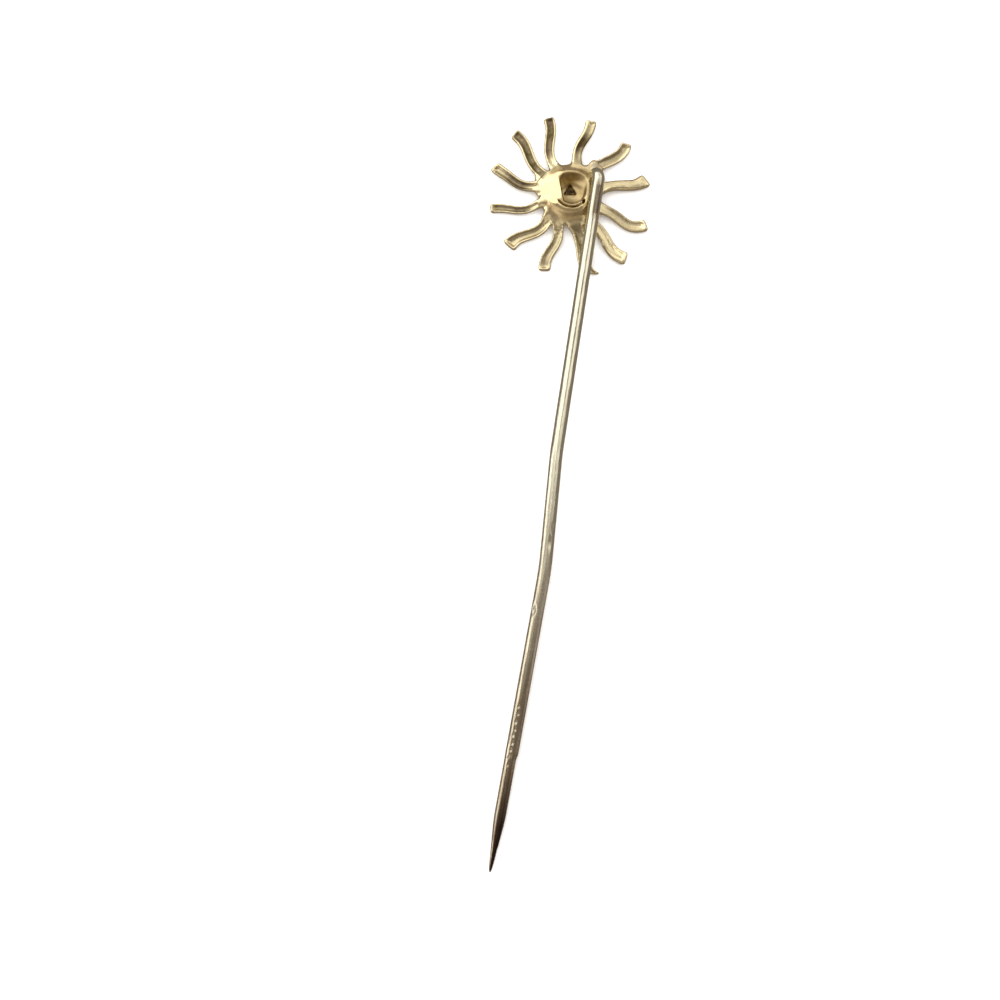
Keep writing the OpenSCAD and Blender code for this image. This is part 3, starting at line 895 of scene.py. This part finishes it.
class PIN_OT_stem(bpy.types.Operator):
    """Bends the wire stem from its foot over the head to its point"""

    bl_idname = "stick_pin.stem"
    bl_label = "Bend the stem"

    def execute(self, context):
        sizes = context.scene.pin_stem
        bm = bmesh.new()
        along = bm.verts.layers.float.new("along")
        verts = bmesh.ops.create_circle(bm, segments=sizes.sides, radius=1)["verts"]
        foot = edges = list(bm.edges)
        before = None
        for s, place in self.stations(sizes):
            if before is None:
                bmesh.ops.transform(bm, matrix=place, verts=verts)
            else:
                grown = bmesh.ops.extrude_edge_only(bm, edges=edges)["geom"]
                verts = [g for g in grown if isinstance(g, bmesh.types.BMVert)]
                new = set(verts)
                edges = [g for g in grown if isinstance(g, bmesh.types.BMEdge) and set(g.verts) <= new]
                bmesh.ops.transform(bm, matrix=place @ before.inverted(), verts=verts)
            for v in verts:
                v[along] = s
            before = place
        for ring in (foot, edges):
            bmesh.ops.contextual_create(bm, geom=ring)
        bmesh.ops.recalc_face_normals(bm, faces=bm.faces)
        bm.normal_update()
        self.wear(bm, along)
        finished(bm, "wire_stem", gold_wire(context))
        return {"FINISHED"}

    def stations(self, sizes):
        """Distance along the stem and the matrix of each ring, from the foot to the point."""
        wire, thin = sizes.wire / 2, sizes.thin / 2
        place = moved(sizes.x, sizes.y, sizes.height) @ swung(sizes.slope, "X")
        rings = [(s, ring_at(place @ at, wire)) for s, at in self.bend(sizes)]
        s = 0
        for share, kink in STEM_RUNS:
            length = share * sizes.length
            for far in stepped(length, 0.3):
                rings.append((s + far, ring_at(place @ moved(0, -far, 0), wire)))
            place = place @ moved(0, -length, 0)
            s += length
            beside = math.copysign(sizes.sweep, kink)
            arc = sizes.sweep * math.radians(abs(kink))
            for i in range(6):
                at = swung(math.radians(kink * i / 6), "Z", beside)
                rings.append((s + arc * i / 6, ring_at(place @ at, wire)))
            place = place @ swung(math.radians(kink), "Z", beside)
            s += arc
        left = sizes.length - s
        full = left - sizes.thin_length
        for far in stepped(full, 0.08):
            rings.append((s + far, ring_at(place @ moved(0, -far, 0), wire)))
        # The thinner end lies a little to the left
        shift = (wire - thin) * 0.8
        for i in range(9):
            far = full + sizes.step * i / 8
            share = ease(i / 8)
            at = moved(-shift * share, -far, 0)
            rings.append((s + far, ring_at(place @ at, wire + (thin - wire) * share)))
        plain = sizes.thin_length - sizes.step - sizes.taper
        ends = [(full + sizes.step + far, 1) for far in stepped(plain, 0.12)[1:]]
        ends += [(left - back * sizes.taper, wide) for back, wide in STEM_POINT]
        for far, wide in ends:
            rings.append((s + far, ring_at(place @ moved(-shift, -far, 0), thin * wide)))
        return rings

    def bend(self, sizes):
        """Distance along the stem and the matrix of each ring of the foot and the bend."""
        places = [(1, -STEM_FOOT * (1 - i / 5)) for i in range(5)]
        places += [(1 - i / 16, 0) for i in range(16)]
        made = []
        for share, s in places:
            aside = swung(sizes.aside * share ** 0.6, "Z")
            down = moved(0, 0, -sizes.bend) @ swung(-sizes.turn * share, "X")
            made.append((s, aside @ down @ moved(0, -s, sizes.bend)))
        return made

    def wear(self, bm, along):
        """Dents the wire and writes how tarnished it is, with painted shade on the right side of its
        point.
        """
        layer = bm.verts.layers.float.new("tarnish_and_shade")
        for v in bm.verts:
            s = v[along]
            # The angle round the wire, from its top to the right
            turn = math.degrees(math.atan2(v.normal.x, v.normal.z))
            sunk = 0.0
            for where, angle, length, width, depth in DENTS:
                if abs(s - where) < 3 * length:
                    gap = ((s - where) / length) ** 2 + (math.radians(turn - angle) / width) ** 2
                    sunk += depth * math.exp(-gap * 2)
            v.co -= v.normal * sunk
            for (s0, dull0), (s1, dull1) in zip(STEM_TARNISH, STEM_TARNISH[1:]):
                if s0 <= s <= s1:
                    v[layer] = dull0 + (dull1 - dull0) * (s - s0) / (s1 - s0)
            # Painted shade: the point's tarnish is lighter on its left side, where the light falls, so
            # that its right side is blacker
            v[layer] *= 1 - 0.5 * ease((s - 40) / 14) * ease((-10 - turn) / 50)
            # Its right side is darker beside the boss
            beside_boss = ease((s - 0.1) * 3) * ease((3.6 - s) * 1.5)
            v[layer] += 0.88 * beside_boss * ease((turn + 24) / 16) * ease((56 - turn) / 20)


class PIN_OT_solder(bpy.types.Operator):
    """Runs the solder round the stem's foot and on over the root of its ray"""

    bl_idname = "stick_pin.solder"
    bl_label = "Run the solder"

    def execute(self, context):
        bm = bmesh.new()
        for x, y, radius, height in SOLDER_DROPS:
            lump(bm, 1, (radius, radius, height), (x, y, SOLDER_Z))
        bm = remeshed(bm, 0.05)
        smoothed(bm, bm.verts, 8)
        bm.normal_update()
        for v in bm.verts:
            v.co += v.normal * uneven(v.co + Vector((3, 1, 0)), SOLDER_SKIN)
        finished(bm, "solder_run", solder_grey(context))
        return {"FINISHED"}


class PIN_OT_stone(bpy.types.Operator):
    """Gives the set stone its clear, smoky brown body, whose darkness is partly painted shade in the hole
    behind it
    """

    bl_idname = "stick_pin.stone"
    bl_label = "Finish the stone"

    def execute(self, context):
        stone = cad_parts["stone"]
        material = clear_stone(context)
        stone.data.materials.clear()
        stone.data.materials.append(material)
        return {"FINISHED"}


def new_material(name):
    """A new material with its node tree and its shader."""
    material = bpy.data.materials.new(name)
    material.use_nodes = True
    tree = material.node_tree
    return material, tree, tree.nodes["Principled BSDF"]


def add(tree, kind, **values):
    """A new node with its sockets set by name. An underscore stands for a space."""
    node = tree.nodes.new(kind)
    for name, value in values.items():
        node.inputs[name.replace("_", " ")].default_value = value
    return node


def linked(tree, shader, **sockets):
    """Links each value to the shader's socket of that name. An underscore stands for a space."""
    for name, value in sockets.items():
        tree.links.new(value, shader.inputs[name.replace("_", " ")])


def millimetres(tree, scale=(1, 1, 1)):
    """Object coordinates in millimetres, stretched by scale."""
    place = tree.nodes.new("ShaderNodeTexCoord")
    mapping = add(tree, "ShaderNodeMapping", Scale=[s / MM for s in scale])
    tree.links.new(place.outputs["Object"], mapping.inputs["Vector"])
    return mapping.outputs["Vector"]


def written(tree, name):
    """What the piece's mesh says in one of its attributes."""
    node = tree.nodes.new("ShaderNodeAttribute")
    node.attribute_name = name
    return node.outputs["Fac"]


def speckle(tree, vector, scale, detail=3.0):
    """Noise whose patches are about 1 / scale across."""
    grain = add(tree, "ShaderNodeTexNoise", Scale=scale, Detail=detail, Roughness=0.55)
    tree.links.new(vector, grain.inputs["Vector"])
    return grain.outputs["Fac"]


def spread(tree, value, low, high, from_low=0.3, from_high=0.7):
    """Maps a value to the range from low to high."""
    limits = {"From_Min": from_low, "From_Max": from_high, "To_Min": low, "To_Max": high}
    ranged = add(tree, "ShaderNodeMapRange", **limits)
    tree.links.new(value, ranged.inputs["Value"])
    return ranged.outputs["Result"]


def reckoned(tree, operation, a, b):
    """Works out one value from two numbers or sockets, and keeps it between 0 and 1."""
    made = tree.nodes.new("ShaderNodeMath")
    made.operation = operation
    made.use_clamp = True
    for socket, value in zip(made.inputs, (a, b)):
        if isinstance(value, float):
            socket.default_value = value
        else:
            tree.links.new(value, socket)
    return made.outputs["Value"]


def times(tree, a, b):
    """The product of two numbers or sockets."""
    return reckoned(tree, "MULTIPLY", a, b)


def plus(tree, a, b):
    """The sum of two numbers or sockets."""
    return reckoned(tree, "ADD", a, b)


def darker(colour, share):
    """A colour at a share of its brightness."""
    return [c * share for c in colour]


def blended(tree, share, first, second):
    """Mixes two colours, each a colour or a socket."""
    mix = tree.nodes.new("ShaderNodeMix")
    mix.data_type = "RGBA"
    tree.links.new(share, mix.inputs[0])
    for socket, value in ((mix.inputs[6], first), (mix.inputs[7], second)):
        if isinstance(value, bpy.types.NodeSocket):
            tree.links.new(value, socket)
        else:
            socket.default_value = (*value, 1)
    return mix.outputs[2]


def bumped(tree, shader, height, distance):
    """Lets a value raise the skin by up to a distance, in metres."""
    bump = add(tree, "ShaderNodeBump", Strength=1.0, Distance=distance)
    tree.links.new(height, bump.inputs["Height"])
    linked(tree, shader, Normal=bump.outputs["Normal"])


def gold_cast(context):
    """Worn cast gold: satin, patchy, brown in the channels, and dark where tarnish and painted shade are
    written.
    """
    if "Cast gold" in bpy.data.materials:
        return bpy.data.materials["Cast gold"]
    colours = context.scene.pin_colours
    material, tree, shader = new_material("Cast gold")
    at = millimetres(tree)
    # Olive is 0 on the boss and 1 on the rays
    olive = written(tree, "olive")
    # This attribute holds tarnish and painted shade alike
    tarnish_and_shade = written(tree, "tarnish_and_shade")
    patches = spread(tree, speckle(tree, at, 0.9), 0.0, 1.0)
    boss = blended(tree, patches, colours.gold, colours.gold_deep)
    rays = blended(tree, patches, colours.gold_pale, darker(colours.gold_pale, 0.84))
    body = blended(tree, olive, boss, rays)
    dull_and_shade = times(tree, tarnish_and_shade, spread(tree, speckle(tree, at, 1.3), 0.8, 1.15))
    hue = spread(tree, speckle(tree, at, 0.45), 0.0, 1.0, 0.4, 0.6)
    brown = blended(tree, hue, colours.tarnish_and_shade, colours.olive_tarnish_and_shade)
    brown = blended(tree, olive, colours.boss_tarnish_and_shade, brown)
    # Values beyond 1, which only the painted shadow in the groove and in the pit reach, turn black
    black = spread(tree, tarnish_and_shade, 0.0, 0.8, 1.0, 1.4)
    brown = blended(tree, black, brown, colours.black_painted_shadow)
    satin = spread(tree, speckle(tree, at, 3.5), 0.16, 0.28)
    satin = plus(tree, satin, times(tree, dull_and_shade, 0.2))
    linked(tree, shader, Base_Color=blended(tree, dull_and_shade, body, brown), Roughness=satin)
    shader.inputs["Metallic"].default_value = 1
    bumped(tree, shader, speckle(tree, at, 3.0), 0.00001)
    return material


def gold_wire(context):
    """Drawn gold wire: bright, with fine lines along it, worn and blackened towards its point, with
    painted shade on the point's right side.
    """
    colours = context.scene.pin_colours
    material, tree, shader = new_material("Drawn gold wire")
    along = millimetres(tree, (9, 0.25, 9))
    at = millimetres(tree)
    tarnish_and_shade = written(tree, "tarnish_and_shade")
    dull_and_shade = times(tree, tarnish_and_shade, spread(tree, speckle(tree, along, 0.6, 5.0), 0.3, 1.7))
    worn_and_shaded = blended(tree, dull_and_shade, colours.wire, colours.wire_dull)
    black = spread(tree, tarnish_and_shade, 0.0, 1.0, 0.78, 1.0)
    colour = blended(tree, black, worn_and_shaded, colours.wire_black)
    lines = spread(tree, speckle(tree, along, 1.0, 4.0), 0.1, 0.2)
    satin = spread(tree, tarnish_and_shade, 0.0, 0.08, 0.03, 0.2)
    satin = times(tree, satin, spread(tree, tarnish_and_shade, 1.0, 0.2, 0.3, 0.5))
    satin = plus(tree, plus(tree, lines, satin), times(tree, dull_and_shade, 0.1))
    linked(tree, shader, Base_Color=colour, Roughness=satin)
    shader.inputs["Metallic"].default_value = 1
    pits = times(tree, speckle(tree, at, 4.0, 4.0), dull_and_shade)
    bumped(tree, shader, plus(tree, pits, speckle(tree, along, 1.0)), 0.000014)
    return material


def solder_grey(context):
    """Solder: greyer and duller than the gold."""
    colours = context.scene.pin_colours
    material, tree, shader = new_material("Solder")
    at = millimetres(tree)
    patches = spread(tree, speckle(tree, at, 2.2), 0.0, 1.0)
    colour = blended(tree, patches, colours.solder, colours.gold_deep)
    satin = spread(tree, speckle(tree, at, 4.0), 0.28, 0.42)
    linked(tree, shader, Base_Color=colour, Roughness=satin)
    shader.inputs["Metallic"].default_value = 1
    bumped(tree, shader, speckle(tree, at, 5.0, 4.0), 0.00003)
    return material


def clear_stone(context):
    """The stone: clear, with a smoky haze inside, its brown partly its tint and partly painted shade in
    the hole behind it.
    """
    colours = context.scene.pin_colours
    material, tree, shader = new_material("Clear stone")
    at = millimetres(tree)
    haze = spread(tree, speckle(tree, at, 1.4), 0.0, 0.5)
    colour = blended(tree, haze, colours.stone, darker(colours.stone, 0.8))
    polish = spread(tree, speckle(tree, at, 6.0), 0.02, 0.06)
    linked(tree, shader, Base_Color=colour, Roughness=polish)
    shader.inputs["Transmission Weight"].default_value = 1
    shader.inputs["IOR"].default_value = 1.77
    return material


def pale_floor(context):
    """Plain pale paper, hardly uneven."""
    colours = context.scene.pin_colours
    material, tree, shader = new_material("Pale floor")
    clouds = spread(tree, speckle(tree, millimetres(tree), 0.05), 0.0, 1.0)
    colour = blended(tree, clouds, colours.floor, darker(colours.floor, 0.99))
    linked(tree, shader, Base_Color=colour)
    shader.inputs["Roughness"].default_value = 0.9
    return material


# Each light is a flat panel that faces the pin, drawn in the plane across the stem. Its
# edges are given as angles from overhead, to the right, then its ends along the pin and
# its distance, in millimetres, its brightness and colour, and whether reflections show it.
LIGHTS = (
    ("left_box", (-72, -5.5), (-2, 210), 180, 1.65, (1.0, 1.0, 0.96), True),
    ("middle_box", (-7, 56), (50, 150), 180, 0.85, (1.0, 0.99, 0.93), True),
    ("right_strip", (15, 56), (2.5, 49), 180, 1.3, (1.0, 0.97, 0.9), True),
    ("left_strip", (-92, -55), (-80, -2), 180, 2.2, (1.0, 0.97, 0.91), True),
    ("low_left", (-57, -4), (-20, -2), 180, 0.6, (1.0, 0.94, 0.84), True),
    ("low_middle", (-10, 18), (-10, 7), 180, 0.75, (1.0, 0.95, 0.92), True),
    ("low_right", (64, 116), (-38, -14), 180, 0.5, (1.0, 0.96, 0.98), True),
    ("front", (-60, 25), (-200, -95), 200, 0.6, (1.0, 0.91, 0.78), True),
    ("back", (-60, 60), (212, 560), 220, 0.8, (1.0, 0.95, 0.86), True),
    ("floor_wash", (-55, 55), (-300, 300), 420, 2.1, (1.0, 1.0, 1.0), False),
)
# The colour of the dim room that the metal mirrors where no light is
ROOM = (0.3, 0.255, 0.215)
# The floor, in metres: half its width, and how far it lies below the pin
FLOOR_HALF, FLOOR_GAP = 1.5, 0.00002
# The camera stands over the point's end of the pin, turned a little to the right of it: its
# place in millimetres from the head, and its view's turn and tilt in degrees
CAMERA_PLACE, CAMERA_TURN, CAMERA_TILT = (4.2, -66.1, 226.5), 8.8, 80
CAMERA_LENS = 100


class PIN_OT_stage(bpy.types.Operator):
    """Sets the pale floor, the soft lights and the camera"""

    bl_idname = "stick_pin.stage"
    bl_label = "Set the stage"

    def execute(self, context):
        scene = context.scene
        self.floor(context)
        for row in LIGHTS:
            self.light(scene, *row)
        world = bpy.data.worlds.new("Studio")
        scene.world = world
        world.use_nodes = True
        background = world.node_tree.nodes["Background"]
        background.inputs["Color"].default_value = (*ROOM, 1)
        background.inputs["Strength"].default_value = 1
        scene.view_settings.view_transform = "Standard"
        self.camera(scene)
        return {"FINISHED"}

    def floor(self, context):
        """Lays the floor just under the pin."""
        bm = bmesh.new()
        bmesh.ops.create_grid(bm, x_segments=8, y_segments=8, size=FLOOR_HALF)
        bmesh.ops.translate(bm, vec=(0, 0, CAD_BOX[0].z - FLOOR_GAP), verts=bm.verts)
        mesh = bpy.data.meshes.new("floor")
        bm.to_mesh(mesh)
        bm.free()
        mesh.materials.append(pale_floor(context))
        floor = bpy.data.objects.new("floor", mesh)
        # The polished wire shows the dim room round it, not the brightly lit floor
        floor.visible_glossy = False
        context.scene.collection.objects.link(floor)

    def light(self, scene, name, edges, ends, distance, shine, colour, mirrored):
        """Hangs one of the light panels."""
        lamp = bpy.data.lights.new(name, "AREA")
        lamp.shape = "RECTANGLE"
        half = math.radians(edges[1] - edges[0]) / 2
        lamp.size = 2 * distance * math.tan(half) * MM
        lamp.size_y = (ends[1] - ends[0]) * MM
        lamp.color = colour
        lamp.energy = shine * math.pi * lamp.size * lamp.size_y
        box = bpy.data.objects.new(name, lamp)
        side = math.radians(sum(edges) / 2)
        along = Vector((0, sum(ends) / 2, 0))
        out = Vector((math.sin(side), 0, math.cos(side))) * distance
        box.location = (out + along) * MM + HEAD
        box.rotation_euler = (0, side, 0)
        box.visible_camera = False
        box.visible_glossy = mirrored
        scene.collection.objects.link(box)

    def camera(self, scene):
        """Sets the camera up at the photograph's angle."""
        lens = bpy.data.cameras.new("camera")
        lens.lens = CAMERA_LENS
        lens.sensor_width = 36
        lens.clip_start = 0.01
        camera = bpy.data.objects.new("camera", lens)
        turn, tilt = math.radians(CAMERA_TURN), math.radians(CAMERA_TILT)
        flat = math.cos(tilt)
        back = Vector((math.sin(turn) * flat, -math.cos(turn) * flat, math.sin(tilt)))
        camera.location = Vector(CAMERA_PLACE) * MM + HEAD
        camera.rotation_euler = (-back).to_track_quat("-Z", "Y").to_euler()
        scene.collection.objects.link(camera)
        scene.camera = camera


class PIN_PT_panel(bpy.types.Panel):
    """Lists the steps and sizes of the stick pin"""

    bl_label = "Stick Pin"
    bl_idname = "PIN_PT_panel"
    bl_space_type = "VIEW_3D"
    bl_region_type = "UI"
    bl_category = "Stick Pin"

    def draw(self, context):
        for step in STEPS:
            self.layout.operator(step.bl_idname)
        for group in (context.scene.pin_head, context.scene.pin_stem, context.scene.pin_colours):
            box = self.layout.box()
            for name in group.__annotations__:
                box.prop(group, name)


STEPS = (PIN_OT_head, PIN_OT_lip, PIN_OT_stem, PIN_OT_solder, PIN_OT_stone, PIN_OT_stage)
GROUPS = {"pin_head": PinHeadSizes, "pin_stem": PinStemSizes, "pin_colours": PinColours}


def register():
    """Makes the sizes, the steps and the panel known to Blender."""
    for cls in (*GROUPS.values(), *STEPS, PIN_PT_panel):
        bpy.utils.register_class(cls)
    for name, group in GROUPS.items():
        setattr(bpy.types.Scene, name, PointerProperty(type=group))


def unregister():
    """Takes the sizes, the steps and the panel away again."""
    for name in GROUPS:
        delattr(bpy.types.Scene, name)
    for cls in (PIN_PT_panel, *reversed(STEPS), *GROUPS.values()):
        bpy.utils.unregister_class(cls)


def main():
    """Builds the dressed pin and its stage."""
    register()
    bpy.ops.stick_pin.head()
    bpy.ops.stick_pin.lip()
    bpy.ops.stick_pin.stem()
    bpy.ops.stick_pin.solder()
    bpy.ops.stick_pin.stone()
    bpy.ops.stick_pin.stage()


if __name__ == "__main__":
    main()
